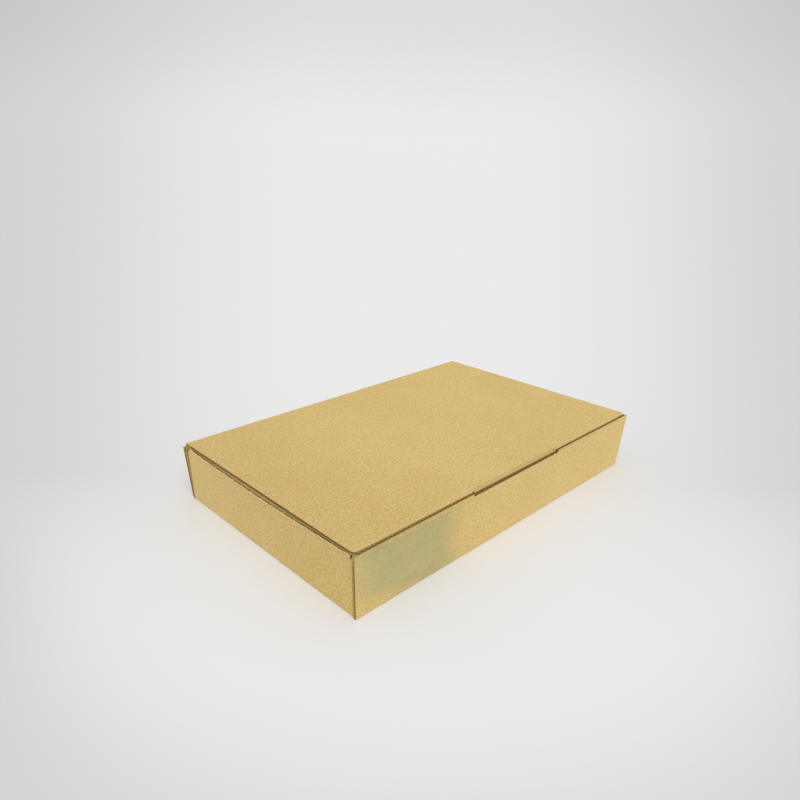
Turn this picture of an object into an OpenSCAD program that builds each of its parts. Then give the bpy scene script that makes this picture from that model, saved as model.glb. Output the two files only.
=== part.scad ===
// Cardboard mailer box, folded from one die-cut sheet of corrugated board.
// The tray has rolled double end walls that trap the front wall's corner flaps.
// The lid hinges on the back wall's top and tucks in at the front, where a thumb
// tongue reaches over a notch in the front wall.
// The box stands on z = 0, centred on the origin, with its front towards -Y.

/* [Box] */
// Outside length, along the lid's hinge
box_l = 312; // [240:1:480]
// Outside depth, from the front wall to the back wall
box_w = 204; // [150:1:340]
// Outside height, with the lid closed
box_h = 48; // [36:1:110]

/* [Board] */
// Thickness of the corrugated board
board = 2.6; // [2:0.1:3.2]
// Outside radius of a creased fold
crease_r = 1.6; // [0.8:0.1:1.9]
// Air between two layers of board that lie together
layer_gap = 0.3; // [0.2:0.05:0.6]

/* [Long walls] */
// How far the front wall's raw top edge lies below the lid's top
front_drop = 0.9; // [0.5:0.1:1.5]
// How far the long walls' ends stop short of the end walls' faces
ear_inset = 0.5; // [0.1:0.1:1.5]
// Radius of the front wall's top corners
ear_r = 2.2; // [1:0.1:3]
// Length of a corner flap, inside a rolled end wall
corner_flap_l = 55; // [30:1:65]
// Radius of a corner flap's free corners
corner_flap_r = 9; // [3:1:14]
// Outside radius of the fold between the front wall and a corner flap
corner_fold_r = 0.6; // [0.4:0.1:1.9]

/* [End walls] */
// How far an end wall's raw front edge stands back from the front wall's face
end_front_inset = 0.3; // [0.1:0.1:1.5]
// How far the roll's top is cut back at each end, where the sheets are notched
roll_notch = 3; // [1:0.5:8]
// Length of a locking tab, at the foot of an end wall's inner layer
tab_l = 32; // [16:1:44]
// Distance between the two locking tabs of an end wall
tab_pitch = 104; // [60:1:110]
// Air round a locking tab in its slot
tab_gap = 0.4; // [0.2:0.1:0.8]
// How far a locking tab stops short of the floor
tab_recess = 0.4; // [0.2:0.1:1]

/* [Lid] */
// How far the lid's raw side edges stand in from the end walls' faces
lid_side_inset = 1.7; // [1:0.1:4]
// Radius of the lid's front corners
lid_corner_r = 3.5; // [2:0.5:12]
// Air between the lid and the edges that it closes on
lid_gap = 0.3; // [0.2:0.05:0.6]
// Height from the base panel to the tuck flap's lower edge
tuck_floor_gap = 8; // [4:1:20]
// Air between the tuck flap's ends and the end walls
tuck_side_gap = 1; // [0.5:0.1:3]
// Radius of the tuck flap's lower corners
tuck_corner_r = 12; // [4:1:20]
// Angle by which the tuck flap leans in beyond what the lid's swing needs
tuck_ease = 1.2; // [0.8:0.1:4]

/* [Thumb tongue] */
// Length of the tongue, along the front wall
tongue_l = 96; // [50:1:120]
// How far the tongue reaches past the lid's front crease
tongue_reach = 1.3; // [0.6:0.1:2.2]
// Length of front wall notch left free at each end of the tongue
notch_ease = 2; // [2:0.5:10]
// Radius of the notch's bottom corners
notch_r = 1.2; // [0.4:0.1:1.4]
// Width of the cut at each end of the tongue
slit_w = 0.4; // [0.3:0.1:1]
// How far that cut runs back into the lid
slit_run = 1.8; // [1:0.1:5]

/* [Hidden] */
$fn = 64;
kraft = "#d0b377";
kraft_lid = "#d9bc7a";
over = 1;

half_l = box_l / 2;
half_w = box_w / 2;

// A rolled end wall is outer layer, corner flap and inner layer
roll_w = 3 * board + 2 * layer_gap;
roll_top = box_h - board - lid_gap;
roll_end = half_w - board - layer_gap;
inner_x = half_l - roll_w;

// The front wall folds just inside the end walls' outer layers
fold_x = half_l - board - layer_gap;
ear_x = half_l - ear_inset;
flap_floor = board + layer_gap;
flap_top = roll_top - board - layer_gap;
front_top = box_h - front_drop;
notch_l = tongue_l + 2 * notch_ease;
notch_floor = box_h - board - lid_gap;

// The hinge runs along the middle of the back wall's rounded top
hinge_y = half_w - board / 2;
hinge_z = box_h - board / 2;
hinge_top = box_h - board;
lid_back = half_w - board - lid_gap;
lid_front = -half_w + board + lid_gap;
lid_x = half_l - lid_side_inset;

// The tuck flap swings about the hinge, so it leans in to clear the front wall
tuck_x = inner_x - tuck_side_gap;
tuck_drop = box_h - board - tuck_floor_gap;
swing_r = hinge_y + half_w - board;
tuck_lean = atan(tuck_drop / (2 * swing_r)) + tuck_ease;
tuck_l = (tuck_drop - crease_r) / cos(tuck_lean);
cutout_drop = tongue_reach + board;

// A block between two opposite corners
module block(from, to) {
    translate(from) cube(to - from);
}

// An outline drawn in Y and Z, drawn out along X
module along_x(from, to) {
    translate([from, 0, 0]) rotate([90, 0, 90]) linear_extrude(to - from) children();
}

// An outline drawn in X and Z, drawn out along Y
module along_y(from, to) {
    translate([0, to, 0]) rotate([90, 0, 0]) linear_extrude(to - from) children();
}

// An outline drawn in X and Y, drawn out along Z
module along_z(from, to) {
    translate([0, 0, from]) linear_extrude(to - from) children();
}

// A shape and its mirror image across the plane x = 0
module both_ends() {
    children();
    mirror([1, 0, 0]) children();
}

// What is cut off a sheet to round its corner at the origin
module corner_cut_2d(radius) {
    difference() {
        translate([-over, -over]) square(radius + over);
        translate([radius, radius]) circle(radius);
    }
}

// A right-angled fold, one board wide and high, with its outside at the origin
module crease_2d(radius = crease_r) {
    difference() {
        square(board);
        corner_cut_2d(radius);
    }
}

// A sheet from the origin, with its two far corners rounded
module flap_2d(length, height, radius) {
    difference() {
        square([length, height]);
        translate([length, 0]) mirror([1, 0]) corner_cut_2d(radius);
        translate([length, height]) mirror([1, 0]) mirror([0, 1]) corner_cut_2d(radius);
    }
}

// The fold at a long wall's foot, at -Y
module foot_fold(length) {
    along_x(-length / 2, length / 2) translate([-half_w, 0]) crease_2d();
}

// The front wall's corner flaps, turned in between the layers of the end walls
module corner_flaps() {
    both_ends() along_z(flap_floor, flap_top)
        translate([fold_x, -half_w]) mirror([1, 0]) crease_2d(corner_fold_r);
    both_ends() translate([0, -half_w + board, flap_floor])
        along_x(fold_x - board, fold_x)
            flap_2d(corner_flap_l - board, flap_top - flap_floor, corner_flap_r);
}

// Outline of the front wall between its corner folds, with an ear over each
module front_wall_2d() {
    difference() {
        union() {
            translate([-fold_x + board, board])
                square([2 * (fold_x - board), front_top - board]);
            translate([-ear_x, flap_top]) square([2 * ear_x, front_top - flap_top]);
        }
        notch_2d();
        for (side = [0, 1]) mirror([side, 0])
            translate([ear_x, front_top]) mirror([1, 0]) mirror([0, 1]) corner_cut_2d(ear_r);
    }
}

module front_wall() {
    along_y(-half_w, -half_w + board) front_wall_2d();
    foot_fold(2 * fold_x);
    corner_flaps();
}

// The notch under the thumb tongue, open at the front wall's top
module notch_2d() {
    difference() {
        translate([-notch_l / 2, notch_floor]) square([notch_l, front_drop + board]);
        for (side = [0, 1]) mirror([side, 0])
            translate([-notch_l / 2, notch_floor]) corner_cut_2d(notch_r);
    }
}

// The back wall covers the end walls' raw edges, and its own raw ends show.
// Its top is rounded about the hinge line, where the lid folds.
module back_wall() {
    block([-ear_x, half_w - board, board], [ear_x, half_w, hinge_top]);
    block([-lid_x, half_w - board, hinge_top - over], [lid_x, half_w, hinge_z]);
    along_x(-lid_x, lid_x) translate([hinge_y, hinge_z]) circle(board / 2);
    mirror([0, 1, 0]) foot_fold(2 * ear_x);
}

// Section of an end wall's outer layer and the fold at its foot
module outer_layer_2d(top) {
    translate([half_l, 0]) mirror([1, 0]) crease_2d();
    translate([half_l - board, board]) square([board, top - board]);
}

module inner_layer_2d() {
    translate([inner_x, flap_floor]) square([board, roll_top - board - flap_floor]);
}

// Section of the rolled top that joins the two layers
module end_roll_2d() {
    translate([half_l, roll_top]) mirror([1, 0]) mirror([0, 1]) crease_2d();
    translate([inner_x + board, roll_top - board]) square([roll_w - 2 * board, board]);
    translate([inner_x, roll_top]) mirror([0, 1]) crease_2d();
}

// The tabs lock the inner layer into slots in the base panel
module lock_tabs() {
    for (side = [-1, 1])
        translate([0, side * tab_pitch / 2, 0])
            block([inner_x, -tab_l / 2, tab_recess], [inner_x + board, tab_l / 2, flap_floor + over]);
}

module lock_slots() {
    for (side = [-1, 1])
        translate([0, side * tab_pitch / 2, 0])
            block([inner_x - tab_gap, -tab_l / 2 - tab_gap, -over],
                  [inner_x + board + tab_gap, tab_l / 2 + tab_gap, board + over]);
}

// The outer layer reaches forward past the roll, below the front wall's ears
module end_wall() {
    along_y(-roll_end, roll_end) {
        outer_layer_2d(roll_top - board);
        inner_layer_2d();
    }
    along_y(-half_w + end_front_inset, -roll_end + over)
        outer_layer_2d(flap_top - layer_gap);
    along_y(-roll_end + roll_notch, roll_end - roll_notch) end_roll_2d();
    lock_tabs();
}

module base_panel() {
    difference() {
        block([-half_l + board, -half_w + board, 0], [half_l - board, half_w - board, board]);
        both_ends() lock_slots();
    }
}

module tray() {
    color(kraft) {
        base_panel();
        front_wall();
        back_wall();
        both_ends() end_wall();
    }
}

// Outline of the lid panel from above, with the tongue at its front
module lid_panel_2d() {
    difference() {
        translate([-lid_x, lid_front]) square([2 * lid_x, lid_back - lid_front]);
        for (side = [0, 1]) mirror([side, 0]) {
            translate([-lid_x, lid_front]) corner_cut_2d(lid_corner_r);
            translate([tongue_l / 2, lid_front - over]) square([slit_w, slit_run + over]);
        }
    }
    translate([-tongue_l / 2, lid_front - tongue_reach]) square([tongue_l, tongue_reach + over]);
}

// The fold over the tuck flap, on each side of the tongue: the panel's square
// front edge gives way to a round one, from which the flap hangs
module tuck_crease_cut() {
    both_ends() along_x(tongue_l / 2 + slit_w, tuck_x)
        translate([lid_front - over, box_h - board - over])
            square([crease_r + over, board + 2 * over]);
}

module tuck_crease() {
    both_ends() along_x(tongue_l / 2 + slit_w, tuck_x)
        translate([lid_front + crease_r, box_h - crease_r]) circle(crease_r);
}

// Outline of the tuck flap, hanging from its crease, with the tongue's gap
module tuck_flap_2d() {
    difference() {
        translate([-tuck_x, -tuck_l]) square([2 * tuck_x, tuck_l]);
        for (side = [0, 1]) mirror([side, 0])
            translate([-tuck_x, -tuck_l]) corner_cut_2d(tuck_corner_r);
        translate([-tongue_l / 2 - slit_w, -cutout_drop])
            square([tongue_l + 2 * slit_w, cutout_drop + over]);
    }
}

module tuck_flap() {
    translate([0, lid_front + crease_r, box_h - crease_r]) rotate([tuck_lean, 0, 0])
        along_y(-crease_r, board - crease_r) tuck_flap_2d();
}

module lid() {
    color(kraft_lid) {
        difference() {
            along_z(box_h - board, box_h) lid_panel_2d();
            tuck_crease_cut();
        }
        tuck_crease();
        tuck_flap();
    }
}

tray();
lid();
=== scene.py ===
# Cardboard mailer box: a tray and a hinged lid, both of kraft corrugated board.
# The board is hollow at its raw edges, where its flutes show between two liners.
import math

import bmesh
import bpy
from mathutils import Matrix, Vector


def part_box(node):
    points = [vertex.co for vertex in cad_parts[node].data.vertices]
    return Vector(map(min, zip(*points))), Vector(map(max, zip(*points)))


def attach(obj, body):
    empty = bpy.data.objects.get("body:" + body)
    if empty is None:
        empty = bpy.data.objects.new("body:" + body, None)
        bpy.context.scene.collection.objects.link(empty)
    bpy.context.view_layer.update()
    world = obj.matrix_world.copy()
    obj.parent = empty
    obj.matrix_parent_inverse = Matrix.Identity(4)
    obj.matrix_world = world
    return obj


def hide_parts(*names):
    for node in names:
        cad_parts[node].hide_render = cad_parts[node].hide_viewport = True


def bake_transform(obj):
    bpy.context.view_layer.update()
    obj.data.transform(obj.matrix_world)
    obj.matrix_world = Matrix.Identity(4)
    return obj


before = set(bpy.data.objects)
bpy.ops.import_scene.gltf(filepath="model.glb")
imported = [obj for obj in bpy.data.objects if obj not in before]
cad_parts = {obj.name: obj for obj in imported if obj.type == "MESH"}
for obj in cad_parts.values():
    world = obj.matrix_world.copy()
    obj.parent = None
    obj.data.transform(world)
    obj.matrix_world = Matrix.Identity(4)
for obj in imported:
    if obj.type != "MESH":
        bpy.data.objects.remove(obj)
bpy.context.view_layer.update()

MM = 0.001
X, Y, Z = Vector((1, 0, 0)), Vector((0, 1, 0)), Vector((0, 0, 1))

# The board: two flat liners with a fluted sheet, the medium, between them
BOARD = 2.6 * MM
LINER = 0.42 * MM
MEDIUM = 0.3 * MM
PITCH = 3.8 * MM
GAP = 0.3 * MM
CREASE_R = 1.6 * MM
LINER_SLOT, CUT_SLOT, FLUTE_SLOT, CREASE_SLOT = range(4)

# Half an air cell's width, and the flat stretches that its wave is made of
CELL_HALF = 0.45 * PITCH
CELL_STEPS = 8
# How far a raw edge's flutes are modelled into the board
FLUTE_DEPTH = 12 * MM
# How far a cutting shape reaches past the board that it cuts
OVER = 1 * MM
# The band beside a raw side edge, where cells run the panel's whole length
EDGE_BAND = 3 * MM
# Slack for telling on which side of an edge something lies
SLACK = 0.1 * MM

# Places on the tray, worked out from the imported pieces
_, TRAY_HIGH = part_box("tray")
HALF_L = TRAY_HIGH.x
HALF_W = TRAY_HIGH.y
HEIGHT = TRAY_HIGH.z
OUTER_X = HALF_L - BOARD
FLAP_X = OUTER_X - GAP
INNER_X = HALF_L - 3 * BOARD - 2 * GAP
LAYER_END = HALF_W - BOARD - GAP
ROLL_TOP = HEIGHT - BOARD - GAP
ROLL_END = LAYER_END - 3 * MM
ROLL_CELLS_END = HALF_L - 2 * MM
FLAP_TOP = ROLL_TOP - BOARD - GAP
EAR_X = HALF_L - 0.5 * MM
# How far the front wall's end cell lies past its raw end, which opens it lengthwise
END_CELL_OUT = 0.7 * MM
# What is taken off the back wall's ends, so that their inner face gets the raw edge's dark material as
# painted shade of the gap beside the end walls
SHAVING = 0.05 * MM

# Places on the lid
LID_LOW, LID_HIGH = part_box("lid")
LID_X = LID_HIGH.x
LID_FRONT = -LAYER_END
TONGUE_HALF = 48 * MM
TUCK_X = INNER_X - 1 * MM
TUCK_DROP = HEIGHT - BOARD - 8 * MM
TUCK_LEAN = math.atan(TUCK_DROP / (4 * HALF_W - 3 * BOARD)) + math.radians(1.2)
TUCK_FOLD = Vector((0, LID_FRONT + CREASE_R, HEIGHT - CREASE_R))
TUCK_CELLS_TOP = 8 * MM
CORNER_X = TUCK_X + 1.5 * MM
LID_PHASE = 1.8 * MM

# The fold that joins the lid to the back wall: its flat ends, its bend, its inside bead
HINGE_LOW = HEIGHT - 5 * MM
HINGE_FRONT = HALF_W - 5 * MM
HINGE_ENDS = (-LID_X + 1.4 * MM, LID_X)
HINGE_BEND = 3 * MM
HINGE_BEAD = 0.5 * MM
HINGE_STEPS = 10

# The lid's front, pressed sharper and lower than a free sheet lies
FOLD_R = 0.6 * MM
TONGUE_PRESS = 0.7 * MM
CORNER_PRESS = 0.5 * MM
PRESS_LINE = LID_FRONT + 3.5 * MM

# How far the closed lid has moved to the right: its left edge, its right edge
LID_LEFT_BACK, LID_LEFT_FRONT = 1.4 * MM, 0.7 * MM
LID_RIGHT_BACK, LID_RIGHT_FRONT = 0, 1.6 * MM

# How far the end walls have moved in: at the foot, at the top, and at the top's corners
END_FOOT_IN, END_TOP_IN, END_CORNER_IN = 1.1 * MM, 0.5 * MM, 2.4 * MM
END_BOW = 92 * MM
BOW_STEP = 15 * MM
# How far the long walls' ends have moved in, and how far the front wall's top has risen
FRONT_RIGHT_FOOT_IN, FRONT_LEFT_TOP_IN, BACK_FOOT_IN = 2.2 * MM, 0.3 * MM, 0.6 * MM
FRONT_RISE = 0.7 * MM
RISE_FROM, RISE_TO = -70 * MM, -20 * MM

# The stain on the front wall: where it fades in or out, from bare board to full
STAIN_LEFT = (-168 * MM, -136 * MM)
STAIN_RIGHT = (-56 * MM, -86 * MM)
STAIN_LOW = (4 * MM, 26 * MM)
STAIN_HIGH = (50 * MM, 42 * MM)

KRAFT_TONE = (0.705, 0.498, 0.178)
KRAFT_CLOUD = (0.715, 0.53, 0.195)
KRAFT_DARK = (0.46, 0.30, 0.105)
KRAFT_LIGHT = (0.90, 0.72, 0.36)
# The darkest tone of the lid's painted shade to the left and of the sheet's soft clouds
KRAFT_CLOUD_AND_PAINTED_SHADE = (0.89, 0.86, 0.86)
STAIN_TONE = (0.46, 0.415, 0.195)
CUT_TONE = (0.50, 0.36, 0.115)
CUT_DARK = (0.29, 0.20, 0.06)
FLUTE_TONE = (0.37, 0.26, 0.085)
FLUTE_DARK = (0.24, 0.165, 0.05)
# The studio paper's painted pool of light: its pale middle and its darker sides
PAPER_PALE = (0.835, 0.835, 0.835)
PAPER_SHADE = (0.635, 0.635, 0.635)

SKY_LIGHT = 0.69
SUN_LIGHT = 0.40
FLOOR_RADIUS = 40
# The painted shade of a darker ring in front of the box: from bare paper to full, by distance and by side
RING_INSIDE = (0.24, 0.37)
RING_OUTSIDE = (1.4, 0.45)
RING_FRONT = (-0.03, -0.2)
RING_SHADE = (0.8, 0.8, 0.8)
# How dark the backdrop's painted shade gets upward
BACKDROP_SHADE = (0.86, 0.86, 0.86)


# Corrugated board

def mesh_object(name, bm, materials=()):
    """A mesh object at the origin, made from bm."""
    mesh = bpy.data.meshes.new(name)
    bm.to_mesh(mesh)
    bm.free()
    for material in materials:
        mesh.materials.append(material)
    obj = bpy.data.objects.new(name, mesh)
    bpy.context.scene.collection.objects.link(obj)
    return obj


def folded_sheet(node):
    """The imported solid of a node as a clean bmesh, with one face for each flat side."""
    bm = bmesh.new()
    bm.from_mesh(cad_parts[node].data)
    bmesh.ops.remove_doubles(bm, verts=bm.verts, dist=0.002 * MM)
    bmesh.ops.dissolve_limit(bm, angle_limit=math.radians(0.5), verts=bm.verts, edges=bm.edges)
    for face in bm.faces:
        face.material_index = LINER_SLOT
    return bm


def spans(near, far):
    """The stretches from near to far, on the left and on the right."""
    return (-far, -near), (near, far)


def prism(bm, start, sides, length):
    """A closed bar: the outline with its corners at start + sides, drawn out along length."""
    face = bm.faces.new([bm.verts.new(start + side) for side in sides])
    swept = bmesh.ops.extrude_face_region(bm, geom=[face])["geom"]
    far = [v for v in swept if isinstance(v, bmesh.types.BMVert)]
    bmesh.ops.translate(bm, verts=far, vec=length)


def block(bm, low, high):
    """A closed block between two opposite corners."""
    size = Vector(high) - Vector(low)
    middle = (Vector(high) + Vector(low)) / 2
    place = Matrix.Translation(middle) @ Matrix.Diagonal((*size, 1))
    bmesh.ops.create_cube(bm, size=1, matrix=place)


def round_corner(middle_y, middle_z, toward_y, toward_z, steps):
    """Points on a quarter circle of the crease's radius, from its Y side to its Z side."""
    for i in range(steps + 1):
        turn = math.pi / 2 * i / steps
        yield middle_y + toward_y * CREASE_R * math.cos(turn), middle_z + toward_z * CREASE_R * math.sin(turn)


def air_cell(bm, middle, along, across, through, length):
    """One air cell of the board: a bar between the medium's wave and a liner."""
    ceiling = BOARD / 2 - LINER
    swing = ceiling - MEDIUM / 2
    outline = [through * ceiling - across * CELL_HALF, through * ceiling + across * CELL_HALF]
    for i in range(CELL_STEPS + 1):
        x = CELL_HALF - 2 * CELL_HALF * i / CELL_STEPS
        wave = MEDIUM / 2 - swing * math.cos(math.tau * x / PITCH)
        outline.append(across * x + through * wave)
    prism(bm, middle, outline, along * length)


def air_cells(bm, middle, along, across, through, low, high, reach, phase=0):
    """The air cells of one flat panel, side by side from low to high across its flutes.

    reach gives where a cell starts and ends along the flutes, from its place across them.
    """
    first = math.ceil((low - phase) / (PITCH / 2))
    last = math.floor((high - phase) / (PITCH / 2))
    for i in range(first, last + 1):
        place = phase + i * PITCH / 2
        start, end = reach(place)
        facing = through if i % 2 == 0 else -through
        air_cell(bm, middle + across * place + along * start, along, across, facing, end - start)


def cut(sheet, cutter_bm, slot, way="DIFFERENCE"):
    """Takes a shape out of the sheet, or joins it on; the new faces get the slot's material."""
    bmesh.ops.recalc_face_normals(cutter_bm, faces=cutter_bm.faces)
    for face in cutter_bm.faces:
        face.material_index = slot
    board = mesh_object("board_work", sheet, KRAFT)
    cutter = mesh_object("cutter_work", cutter_bm, KRAFT)
    taking = board.modifiers.new("cut", "BOOLEAN")
    taking.operation = way
    taking.solver = "EXACT"
    taking.material_mode = "INDEX"
    taking.object = cutter
    depsgraph = bpy.context.evaluated_depsgraph_get()
    result = bmesh.new()
    result.from_mesh(board.evaluated_get(depsgraph).to_mesh())
    for obj in (board, cutter):
        mesh = obj.data
        bpy.data.objects.remove(obj)
        bpy.data.meshes.remove(mesh)
    return result


def lies_at(value, places):
    return any(abs(value - place) < 0.03 * MM for place in places)


def mark_raw_edges(bm, is_raw):
    """Gives the raw edges and the rounded folds their own materials."""
    for face in bm.faces:
        if face.material_index != LINER_SLOT:
            continue
        normal, middle = face.normal, face.calc_center_median()
        if is_raw(normal, middle):
            face.material_index = CUT_SLOT
        elif max(abs(normal.x), abs(normal.y), abs(normal.z)) < 0.985:
            face.material_index = CREASE_SLOT


def split_across(bm, axis, places):
    """Edge lines right through the sheet, where it is going to bend."""
    for place in places:
        geom = bm.verts[:] + bm.edges[:] + bm.faces[:]
        bmesh.ops.bisect_plane(bm, geom=geom, dist=0.001 * MM, plane_co=axis * place, plane_no=axis)


def slope(value, low, high):
    """0 at low, 1 at high and a straight line between them."""
    return min(max((value - low) / (high - low), 0), 1)


def lay_flat(bm):
    """A UV map in metres, as on the flat sheet: u across the flutes and v along them."""
    uv = bm.loops.layers.uv.new("Sheet")
    for face in bm.faces:
        turned = [abs(part) for part in face.normal]
        main = turned.index(max(turned))
        for loop in face.loops:
            x, y, z = loop.vert.co
            loop[uv].uv = ((z, y), (x, z), (x, y))[main]


def finish_sheet(name, bm):
    lay_flat(bm)
    sheet = mesh_object(name, bm, KRAFT)
    return sheet


# Materials

def feed(tree, socket, value):
    """Sets a socket to a value, or links it where the value is another node's output."""
    if isinstance(value, bpy.types.NodeSocket):
        tree.links.new(value, socket)
    else:
        socket.default_value = value


def math_node(tree, operation, a, b=0.0):
    node = tree.nodes.new("ShaderNodeMath")
    node.operation = operation
    feed(tree, node.inputs[0], a)
    feed(tree, node.inputs[1], b)
    return node.outputs[0]


def product(tree, value, *factors):
    for factor in factors:
        value = math_node(tree, "MULTIPLY", value, factor)
    return value


def total(tree, value, *others):
    for other in others:
        value = math_node(tree, "ADD", value, other)
    return value


def stretch(tree, coords, scale, turn):
    """Coordinates scaled along each axis and turned about Z by some degrees."""
    node = tree.nodes.new("ShaderNodeMapping")
    feed(tree, node.inputs["Vector"], coords)
    node.inputs["Rotation"].default_value = (0, 0, math.radians(turn))
    node.inputs["Scale"].default_value = scale
    return node.outputs[0]


def split_up(tree, coords):
    """The x, y and z of a vector."""
    node = tree.nodes.new("ShaderNodeSeparateXYZ")
    feed(tree, node.inputs[0], coords)
    return node.outputs


def noise(tree, coords, scale, detail, roughness):
    node = tree.nodes.new("ShaderNodeTexNoise")
    feed(tree, node.inputs["Vector"], coords)
    node.inputs["Scale"].default_value = scale
    node.inputs["Detail"].default_value = detail
    node.inputs["Roughness"].default_value = roughness
    return node.outputs["Fac"]


def between(tree, value, low, high):
    """0 at low, 1 at high and a smooth step between them."""
    node = tree.nodes.new("ShaderNodeMapRange")
    node.interpolation_type = "SMOOTHSTEP"
    feed(tree, node.inputs["Value"], value)
    node.inputs["From Min"].default_value = low
    node.inputs["From Max"].default_value = high
    return node.outputs["Result"]


def tint(tree, share, under, over, blend="MIX"):
    """Lays a colour over another one, as far as share says."""
    node = tree.nodes.new("ShaderNodeMix")
    node.data_type = "RGBA"
    node.blend_type = blend
    feed(tree, node.inputs["Factor"], share)
    for name, colour in (("A", under), ("B", over)):
        feed(tree, node.inputs[name], colour if isinstance(colour, bpy.types.NodeSocket) else (*colour, 1))
    return node.outputs["Result"]


def shaded(tree, colour, share, darkest):
    """Multiplies a colour by a darker one, as far as share says."""
    return tint(tree, share, colour, tint(tree, 1.0, colour, darkest, "MULTIPLY"))


def bump(tree, height, depth, under=None):
    node = tree.nodes.new("ShaderNodeBump")
    node.inputs["Strength"].default_value = 1.0
    node.inputs["Distance"].default_value = depth
    feed(tree, node.inputs["Height"], height)
    if under:
        feed(tree, node.inputs["Normal"], under)
    return node.outputs["Normal"]


def new_material(name, roughness, specular=0.25):
    material = bpy.data.materials.new(name)
    material.use_nodes = True
    tree = material.node_tree
    shader = tree.nodes["Principled BSDF"]
    shader.inputs["Roughness"].default_value = roughness
    shader.inputs["Specular IOR Level"].default_value = specular
    return material, tree, shader


def sheet_coords(tree):
    """The paper's own coordinates: metres on the flat sheet."""
    node = tree.nodes.new("ShaderNodeUVMap")
    node.uv_map = "Sheet"
    return node.outputs["UV"]


def place_coords(tree):
    """The places on the box in metres, as one vector and as x, y and z."""
    coords = tree.nodes.new("ShaderNodeTexCoord").outputs["Object"]
    return coords, split_up(tree, coords)


def fibres(tree, coords, length, turn):
    """Long thin flecks: a noise drawn out along one direction."""
    width = 0.16 * MM
    long_way = stretch(tree, coords, (1 / width, 1 / length, 1), turn)
    return noise(tree, long_way, scale=1.0, detail=1.5, roughness=0.55)


def kraft_colour(tree, coords):
    """Kraft paper: cloudy pulp, specks, and dark and pale fibres that cross each other."""
    cloud = noise(tree, coords, scale=60, detail=3.0, roughness=0.6)
    colour = tint(tree, between(tree, cloud, 0.3, 0.7), KRAFT_TONE, KRAFT_CLOUD)
    pulp = noise(tree, coords, scale=520, detail=4.0, roughness=0.75)
    colour = tint(tree, product(tree, between(tree, pulp, 0.58, 0.3), 0.6), colour, KRAFT_DARK)
    colour = tint(tree, product(tree, between(tree, pulp, 0.48, 0.74), 0.62), colour, KRAFT_LIGHT)
    for turn, length in ((12, 2.6 * MM), (-38, 1.9 * MM), (74, 2.1 * MM)):
        strand = fibres(tree, coords, length, turn)
        dark = product(tree, between(tree, strand, 0.62, 0.72), 0.34)
        pale = product(tree, between(tree, strand, 0.38, 0.28), 0.30)
        colour = tint(tree, dark, colour, KRAFT_DARK)
        colour = tint(tree, pale, colour, KRAFT_LIGHT)
    return colour, pulp


def stain_share(tree, places):
    """Where the front wall is stained: a greenish grey patch with a soft, uneven edge."""
    coords, (x, y, z) = places
    uneven = math_node(tree, "SUBTRACT", noise(tree, coords, scale=45, detail=4, roughness=0.65), 0.5)
    waver = product(tree, uneven, 30 * MM)
    along = total(tree, x, waver)
    height = total(tree, z, product(tree, waver, 0.6))
    lower = total(tree, height, product(tree, total(tree, x, HALF_L), 0.3))
    patchy = between(tree, noise(tree, coords, scale=260, detail=4, roughness=0.75), 0.3, 0.66)
    return product(
        tree,
        between(tree, along, *STAIN_LEFT),
        between(tree, along, *STAIN_RIGHT),
        between(tree, lower, *STAIN_LOW),
        between(tree, height, *STAIN_HIGH),
        between(tree, y, -HALF_W + 0.4 * MM, -HALF_W + 0.2 * MM),
        total(tree, product(tree, patchy, 0.46), 0.58),
    )


def pale_share(tree, places):
    """The walls are a little paler away from the near corner."""
    _, (x, y, z) = places
    along_front = product(tree, total(tree, x, HALF_L), 0.8)
    along_side = product(tree, total(tree, y, HALF_W), 1.4)
    away = between(tree, total(tree, along_front, along_side), 20 * MM, 250 * MM)
    below_lid = between(tree, z, 46.5 * MM, 45 * MM)
    return product(tree, away, below_lid, 0.2)


def tongue_painted_shade(tree, places):
    """Painted shade on the thumb tongue's top, darker towards its raw edge where it slopes down."""
    _, (x, y, z) = places
    edge = between(tree, y, LID_LOW.y + 4.5 * MM, LID_LOW.y + 0.5 * MM)
    middle = between(tree, math_node(tree, "ABSOLUTE", x), TONGUE_HALF + 0.2 * MM, TONGUE_HALF)
    top = between(tree, z, HEIGHT - 1.6 * MM, HEIGHT - 1.2 * MM)
    return product(tree, edge, middle, top, 0.8)


def painted_side_shade_and_clouds(tree, colour, places):
    """The lid is painted a little darker to the left, as painted shade of the light falling off there, and
    has soft clouds of the sheet's own uneven tone.
    """
    coords, (x, y, z) = places
    # painted shade: darker to the lid's left, where less light falls
    side = product(tree, between(tree, x, -20 * MM, -170 * MM), between(tree, z, 40 * MM, 46 * MM), 0.7)
    cloud = between(tree, noise(tree, coords, scale=14, detail=2, roughness=0.5), 0.35, 0.7)
    return shaded(tree, colour, total(tree, side, product(tree, cloud, 0.3)), KRAFT_CLOUD_AND_PAINTED_SHADE)


def washboard(tree, coords):
    """The flutes show through the liner as faint ridges, one for each wave of the medium."""
    across = split_up(tree, coords)[0]
    return math_node(tree, "SINE", product(tree, across, math.tau / PITCH))


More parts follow.
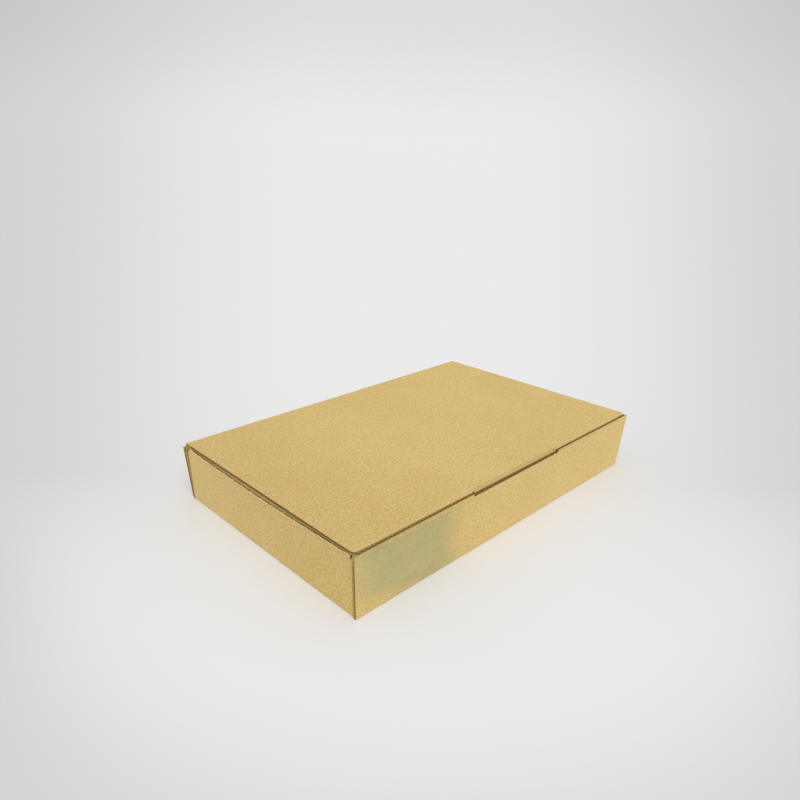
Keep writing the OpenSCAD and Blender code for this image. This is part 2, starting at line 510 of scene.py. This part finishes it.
def kraft_liner(name, crease=False):
    """The board's smooth outside: matt unbleached paper, rubbed paler at a crease."""
    material, tree, shader = new_material(name, 0.82)
    coords, places = sheet_coords(tree), place_coords(tree)
    colour, pulp = kraft_colour(tree, coords)
    if crease:
        rubbed = between(tree, noise(tree, coords, scale=240, detail=3, roughness=0.6), 0.35, 0.75)
        colour = tint(tree, product(tree, rubbed, 0.45), colour, KRAFT_LIGHT)
    colour = tint(tree, pale_share(tree, places), colour, KRAFT_LIGHT)
    colour = tint(tree, stain_share(tree, places), colour, STAIN_TONE)
    # painted shade on the thumb tongue, in the raw edge's tone
    colour = tint(tree, tongue_painted_shade(tree, places), colour, CUT_TONE)
    # painted shade to the lid's left, over the sheet's soft clouds
    feed(tree, shader.inputs["Base Color"], painted_side_shade_and_clouds(tree, colour, places))
    relief = bump(tree, washboard(tree, coords), 0.012 * MM)
    relief = bump(tree, pulp, (0.22 if crease else 0.10) * MM, relief)
    feed(tree, shader.inputs["Normal"], relief)
    return material


def kraft_frayed(name, frayed_scale, frayed_detail, frayed_roughness, edges, dark, pale, depth):
    """Torn and pressed fibres, in two tones."""
    material, tree, shader = new_material(name, 0.95)
    coords, _ = place_coords(tree)
    frayed = noise(tree, coords, frayed_scale, frayed_detail, frayed_roughness)
    feed(tree, shader.inputs["Base Color"], tint(tree, between(tree, frayed, *edges), dark, pale))
    feed(tree, shader.inputs["Normal"], bump(tree, frayed, depth))
    return material


def kraft_cut():
    """The raw edge, darker than the liner."""
    return kraft_frayed("Kraft cut edge", 1400, 3.0, 0.7, (0.35, 0.65), CUT_DARK, CUT_TONE, 0.3 * MM)


def kraft_flute():
    """The medium and the inside of the liners, seen in the flutes' openings."""
    return kraft_frayed("Kraft flute", 900, 2.0, 0.6, (0.3, 0.7), FLUTE_DARK, FLUTE_TONE, 0.2 * MM)


KRAFT = (kraft_liner("Kraft liner"), kraft_cut(), kraft_flute(), kraft_liner("Kraft crease", True))


# The lid

def lid_cells():
    bm = bmesh.new()
    panel_middle = Vector((0, 0, HEIGHT - BOARD / 2))
    lean = Matrix.Rotation(TUCK_LEAN, 3, "X")
    down, inward = lean @ -Z, lean @ Y
    tuck_middle = TUCK_FOLD + inward * (BOARD / 2 - CREASE_R)
    tuck_end = (TUCK_FOLD.z - LID_LOW.z) / math.cos(TUCK_LEAN) + 3 * OVER

    def panel_reach(x):
        beside_edge = abs(x) > LID_X - EDGE_BAND
        return LID_LOW.y - OVER, HINGE_FRONT - EDGE_BAND if beside_edge else LID_FRONT + FLUTE_DEPTH

    def tuck_reach(x):
        beside_edge = abs(x) > TUCK_X - EDGE_BAND
        return TUCK_CELLS_TOP if beside_edge else tuck_end - FLUTE_DEPTH, tuck_end

    tongue = TONGUE_HALF + OVER
    air_cells(bm, panel_middle, Y, X, Z, -tongue, tongue, panel_reach, LID_PHASE)
    for low, high in spans(CORNER_X, LID_X + OVER):
        air_cells(bm, panel_middle, Y, X, Z, low, high, panel_reach, LID_PHASE)
    air_cells(bm, tuck_middle, down, X, inward, -TUCK_X - OVER, TUCK_X + OVER, tuck_reach)
    return bm


def lid_is_raw(normal, middle):
    edgeways = Matrix.Rotation(TUCK_LEAN, 3, "X") @ Z
    return abs(normal.x) > 0.05 or abs(normal.y) > 0.9995 or abs(normal.dot(edgeways)) > 0.9995


def sharpen_fold(bm):
    """The fold above the tuck flap is pressed sharper on its outside than a free bend is."""
    smaller = FOLD_R / CREASE_R
    for vert in bm.verts:
        arm = Vector((0, vert.co.y - TUCK_FOLD.y, vert.co.z - TUCK_FOLD.z))
        outer = abs(arm.length - CREASE_R) < 0.05 * MM and arm.y < 0.01 * MM and arm.z > -0.4 * MM
        if outer and TONGUE_HALF + SLACK < abs(vert.co.x) < TUCK_X + SLACK:
            arm = arm * smaller + (Z - Y) * (CREASE_R - FOLD_R)
            vert.co = Vector((vert.co.x, TUCK_FOLD.y + arm.y, TUCK_FOLD.z + arm.z))


def press_front(bm):
    """The tongue and the lid's front corners are pressed down towards their raw edges."""
    for vert in bm.verts:
        x, y, z = vert.co
        if z < HEIGHT - BOARD - SLACK:
            continue
        if abs(x) < TONGUE_HALF + SLACK:
            drop = TONGUE_PRESS * (1 - slope(y, LID_LOW.y, PRESS_LINE))
        elif abs(x) > TUCK_X + SLACK:
            drop = CORNER_PRESS * (1 - slope(y, LID_FRONT, LID_FRONT + CREASE_R))
        else:
            continue
        vert.co.z -= drop * (z - HEIGHT + BOARD) / BOARD


def settle_lid(bm):
    """The closed lid doesn't lie quite square: its side edges have moved to the right."""
    for vert in bm.verts:
        x, y, z = vert.co
        share = slope(abs(x), CORNER_X, CORNER_X + EDGE_BAND)
        back, front = (LID_RIGHT_BACK, LID_RIGHT_FRONT) if x > 0 else (LID_LEFT_BACK, LID_LEFT_FRONT)
        vert.co.x += share * (back + (front - back) * (HALF_W - y) / (2 * HALF_W))


def make_lid():
    bm = folded_sheet("lid")
    rear = bmesh.new()
    rear_low = (-LID_X - OVER, HINGE_FRONT, HEIGHT - BOARD - OVER)
    block(rear, rear_low, (LID_X + OVER, HALF_W, HEIGHT + OVER))
    bm = cut(bm, rear, LINER_SLOT)
    mark_raw_edges(bm, lid_is_raw)
    bm = cut(bm, lid_cells(), FLUTE_SLOT)
    split_across(bm, Y, (PRESS_LINE, LID_FRONT + CREASE_R))
    sharpen_fold(bm)
    press_front(bm)
    settle_lid(bm)
    lid = finish_sheet("lid_board", bm)
    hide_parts("lid")
    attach(lid, "lid")
    return lid


# The tray

def corner_room():
    """Room for the back wall's fold, and for the front wall's ends over the end walls."""
    bm = bmesh.new()
    back_low = (-LID_X - SLACK, LAYER_END + GAP / 2, HEIGHT - BOARD)
    block(bm, back_low, (LID_X + SLACK, HALF_W + OVER, HEIGHT))
    for low, high in spans(FLAP_X + GAP / 2, HALF_L + OVER):
        block(bm, (low, -HALF_W - OVER, -OVER), (high, -LAYER_END - GAP / 2, FLAP_TOP))
    return bm


def hinge_room():
    """The top of the back wall, where the bending fold takes over."""
    bm = bmesh.new()
    low = (HINGE_ENDS[0], LAYER_END + GAP / 2, HINGE_LOW)
    block(bm, low, (HINGE_ENDS[1], HALF_W + OVER, HEIGHT))
    return bm


def front_ends():
    """The ends of the front wall, which reach past the end walls and show their raw edge."""
    bm = bmesh.new()
    top = FLAP_TOP + 0.5 * MM
    profile = [(-LAYER_END - GAP, 0), (-LAYER_END - GAP, top), (-HALF_W, top)]
    profile += round_corner(-HALF_W + CREASE_R, CREASE_R, -1, -1, 8)
    outline = [Y * y + Z * z for y, z in profile]
    inside = FLAP_X - EDGE_BAND
    for side in (-1, 1):
        prism(bm, X * side * inside, outline, X * side * (EAR_X - inside))
    return bm


def back_end_painted_shade():
    """A thin shaving off the inside of the back wall's ends; its new face gets the raw edge's dark material,
    as painted shade of the narrow gap beside the end walls.
    """
    bm = bmesh.new()
    for low, high in spans(OUTER_X + SLACK, HALF_L + OVER):
        block(bm, (low, LAYER_END + SLACK, -OVER), (high, HALF_W - BOARD + SHAVING, HEIGHT + OVER))
    return bm


def tray_cells():
    bm = bmesh.new()
    front = Vector((0, -HALF_W + BOARD / 2, 0))
    back = Vector((0, HALF_W - BOARD / 2, 0))
    roll = Vector((0, 0, ROLL_TOP - BOARD / 2))

    def front_reach(x):
        return HEIGHT - FLUTE_DEPTH if abs(x) < INNER_X else FLAP_TOP + OVER, HEIGHT + OVER

    def roll_front_reach(x):
        return -ROLL_END - OVER, -ROLL_END + FLUTE_DEPTH

    def roll_back_reach(x):
        return ROLL_END - FLUTE_DEPTH, ROLL_END + OVER

    air_cells(bm, front, Z, X, Y, EDGE_BAND - EAR_X, EAR_X - EDGE_BAND, front_reach)
    for side, (low, high) in zip((-1, 1), spans(INNER_X, ROLL_CELLS_END)):
        front_foot = front + X * side * (EAR_X + END_CELL_OUT) + Z * CREASE_R
        air_cell(bm, front_foot, Z, X, -Y, FLAP_TOP - EDGE_BAND)
        air_cell(bm, back + X * side * EAR_X + Z * CREASE_R, Z, X, Y, HINGE_LOW - CREASE_R)
        air_cells(bm, roll, Y, X, Z, low, high, roll_front_reach)
        air_cells(bm, roll, Y, X, Z, low, high, roll_back_reach)
    return bm


def roll_crease(turn, depth, half_width, dash, bridge):
    """The outer crease of the rolled end walls: a pressed groove, or cuts with bridges between them.

    turn is how far up the rounded fold it lies, in degrees.
    """
    bm = bmesh.new()
    proud = 0.2 * MM
    pitch = dash + bridge
    count = int(2 * (ROLL_END - OVER) / pitch)
    cosine, sine = math.cos(math.radians(turn)), math.sin(math.radians(turn))
    for side in (-1, 1):
        out = Vector((side * cosine, 0, sine))
        sideways = Vector((side * sine, 0, -cosine))
        corner = Vector((side * (HALF_L - CREASE_R), 0, ROLL_TOP - CREASE_R)) + out * CREASE_R
        outline = [out * proud - sideways * half_width, out * proud + sideways * half_width, -out * depth]
        for i in range(count):
            y = (i - count / 2) * pitch + bridge / 2
            prism(bm, corner + Y * y, outline, Y * dash)
    return bm


def pressed_groove():
    return roll_crease(turn=76, depth=0.4 * MM, half_width=1.0 * MM, dash=2 * ROLL_END - 3 * MM, bridge=0)


def perforation():
    return roll_crease(turn=54, depth=1.0 * MM, half_width=0.35 * MM, dash=11 * MM, bridge=1.2 * MM)


def tray_is_raw(normal, middle):
    x, y, z = abs(middle.x), abs(middle.y), middle.z
    if abs(normal.z) > 0.999:
        on_roll = x > INNER_X and y < ROLL_END + SLACK
        liner_heights = (0, BOARD) + ((ROLL_TOP, ROLL_TOP - BOARD) if on_roll else ())
        return not lies_at(z, liner_heights)
    if abs(normal.x) > 0.999:
        liner_places = (HALF_L, OUTER_X, FLAP_X, FLAP_X - BOARD, INNER_X + BOARD, INNER_X)
        return y > LAYER_END or not lies_at(x, liner_places)
    if abs(normal.y) > 0.999:
        return not lies_at(y, (HALF_W, HALF_W - BOARD))
    return abs(normal.y) < 0.05 and middle.y < -LAYER_END and z > FLAP_TOP - SLACK


def settle_tray(bm):
    """The end walls are held in at their corners and at the foot, and bulge at the top between."""
    beyond = LAYER_END + 0.2 * MM
    for vert in bm.verts:
        x, y, z = vert.co
        up = z / HEIGHT
        if y < -beyond:
            foot, top = (FRONT_RIGHT_FOOT_IN, 0) if x > 0 else (0, FRONT_LEFT_TOP_IN)
        elif y > beyond:
            foot, top = BACK_FOOT_IN, 0
        else:
            bow = min((y / END_BOW) ** 2, 1)
            foot, top = END_FOOT_IN, END_TOP_IN + (END_CORNER_IN - END_TOP_IN) * bow
        share = slope(abs(x), INNER_X + 0.5 * MM, OUTER_X)
        vert.co.x -= math.copysign(share * (foot * (1 - up) + top * up), x)
        if y < -beyond and z > FLAP_TOP + 2 * MM:
            vert.co.z += FRONT_RISE * slope(x, RISE_FROM, RISE_TO)


def make_tray():
    bm = folded_sheet("tray")
    bm = cut(bm, corner_room(), LINER_SLOT)
    bm = cut(bm, hinge_room(), LINER_SLOT)
    bm = cut(bm, front_ends(), LINER_SLOT, "UNION")
    # painted shade: the back wall's inner face at its ends gets the raw edge's dark material
    bm = cut(bm, back_end_painted_shade(), CUT_SLOT)
    mark_raw_edges(bm, tray_is_raw)
    bm = cut(bm, tray_cells(), FLUTE_SLOT)
    bm = cut(bm, pressed_groove(), CUT_SLOT)
    bm = cut(bm, perforation(), FLUTE_SLOT)
    split_across(bm, Y, [i * BOW_STEP for i in range(-6, 7)])
    settle_tray(bm)
    tray = finish_sheet("tray_board", bm)
    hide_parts("tray")
    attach(tray, "tray")
    return tray


# The fold between the lid and the back wall

def make_hinge_fold():
    """The board goes on from the back wall into the lid, round a fixed bend."""
    bm = bmesh.new()
    profile = [(HALF_W, HINGE_LOW), (HALF_W, HEIGHT - HINGE_BEND)]
    profile += round_corner(HALF_W - CREASE_R, HEIGHT - CREASE_R, 1, 1, HINGE_STEPS)
    profile += [(HALF_W - HINGE_BEND, HEIGHT), (HINGE_FRONT, HEIGHT), (HINGE_FRONT, HEIGHT - BOARD)]
    inside_y, inside_z, bead = HALF_W - BOARD, HEIGHT - BOARD, HINGE_BEAD
    profile += [(inside_y - bead, inside_z), (inside_y - 0.3 * bead, inside_z - 0.3 * bead)]
    profile += [(inside_y, inside_z - bead), (inside_y, HINGE_LOW)]
    outline = [Y * y + Z * z for y, z in profile]
    prism(bm, X * HINGE_ENDS[0], outline, X * (HINGE_ENDS[1] - HINGE_ENDS[0]))
    bmesh.ops.recalc_face_normals(bm, faces=bm.faces)
    mark_raw_edges(bm, lambda normal, middle: abs(normal.x) > 0.5)
    fold = finish_sheet("hinge_fold", bm)
    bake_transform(fold)
    return fold


# Studio

def add_camera():
    """The photograph's view: turned 44 degrees and 32 degrees down, through a wide lens."""
    data = bpy.data.cameras.new("Camera")
    camera = bpy.data.objects.new("Camera", data)
    bpy.context.scene.collection.objects.link(camera)
    camera.location = Vector((-331.70, -319.37, 248.20)) * MM
    heading, down, roll = math.radians(-44.327), math.radians(31.847), math.radians(0.734)
    turn = Matrix.Rotation(heading, 4, "Z") @ Matrix.Rotation(math.pi / 2 - down, 4, "X")
    camera.rotation_euler = (turn @ Matrix.Rotation(roll, 4, "Z")).to_euler()
    data.sensor_width = 36
    data.lens = 27.223
    data.shift_y = 0.1456
    data.clip_start = 0.01
    bpy.context.scene.camera = camera


def paper_with_painted_light_pool(tree, coords, nearby):
    """The studio's paper with a painted pool of light: palest in the middle, a little darker to both sides.

    nearby widens the pale middle. The second value tells how far away a place is and how high.
    """
    sideways, away, height = split_up(tree, stretch(tree, coords, (1, 1, 1), 45))
    width = total(tree, product(tree, math_node(tree, "ABSOLUTE", away), 0.55), nearby + 0.001)
    share = math_node(tree, "DIVIDE", math_node(tree, "ABSOLUTE", sideways), width)
    return tint(tree, between(tree, share, 0.2, 1.2), PAPER_PALE, PAPER_SHADE), (away, height)


def add_floor():
    """A pale paper floor, with a painted pool of light and painted shade in a soft ring in front of the box.
    """
    material, tree, shader = new_material("Floor paper", 0.9, specular=0.0)
    coords, _ = place_coords(tree)
    # painted pool of light on the floor
    colour, (away, _) = paper_with_painted_light_pool(tree, coords, 0.346)
    length = tree.nodes.new("ShaderNodeVectorMath")
    length.operation = "LENGTH"
    feed(tree, length.inputs[0], coords)
    reach = length.outputs["Value"]
    inner, outer = between(tree, reach, *RING_INSIDE), between(tree, reach, *RING_OUTSIDE)
    # painted shade: a soft darker ring in front of the box
    ring = product(tree, inner, outer, between(tree, away, *RING_FRONT))
    feed(tree, shader.inputs["Base Color"], shaded(tree, colour, ring, RING_SHADE))
    bm = bmesh.new()
    bmesh.ops.create_circle(bm, cap_ends=True, segments=96, radius=FLOOR_RADIUS)
    mesh_object("floor", bm, [material])


def add_front_lamp():
    """A wide soft lamp from the front."""
    lamp = bpy.data.lights.new("Front lamp", "SUN")
    lamp.energy = SUN_LIGHT * math.pi
    lamp.angle = math.radians(40)
    sun = bpy.data.objects.new("Front lamp", lamp)
    bpy.context.scene.collection.objects.link(sun)
    towards = Vector((-0.29, -0.57, 0.77))
    sun.rotation_euler = towards.to_track_quat("Z", "Y").to_euler()


def add_surroundings():
    """Even light from all round, behind which the camera sees the studio's paper, with its painted pool of
    light and painted shade darker upward.
    """
    world = bpy.data.worlds.new("World")
    bpy.context.scene.world = world
    world.use_nodes = True
    tree = world.node_tree
    light = tree.nodes["Background"]
    light.inputs["Color"].default_value = (1, 1, 1, 1)
    light.inputs["Strength"].default_value = SKY_LIGHT
    backdrop = tree.nodes.new("ShaderNodeBackground")
    coords = tree.nodes.new("ShaderNodeTexCoord").outputs["Generated"]
    # painted pool of light on the backdrop
    colour, (_, height) = paper_with_painted_light_pool(tree, coords, 0)
    # painted shade: the backdrop darker upward
    upward = between(tree, height, 0.0, 0.16)
    feed(tree, backdrop.inputs["Color"], shaded(tree, colour, upward, BACKDROP_SHADE))
    rays = tree.nodes.new("ShaderNodeLightPath").outputs
    seen = math_node(tree, "MAXIMUM", rays["Is Camera Ray"], rays["Is Glossy Ray"])
    seen = math_node(tree, "MAXIMUM", seen, rays["Is Transmission Ray"])
    mixed = tree.nodes.new("ShaderNodeMixShader")
    feed(tree, mixed.inputs[0], seen)
    tree.links.new(light.outputs[0], mixed.inputs[1])
    tree.links.new(backdrop.outputs[0], mixed.inputs[2])
    tree.links.new(mixed.outputs[0], tree.nodes["World Output"].inputs["Surface"])


make_tray()
make_lid()
make_hinge_fold()
add_camera()
add_floor()
add_front_lamp()
add_surroundings()
bpy.context.scene.view_settings.view_transform = "Standard"
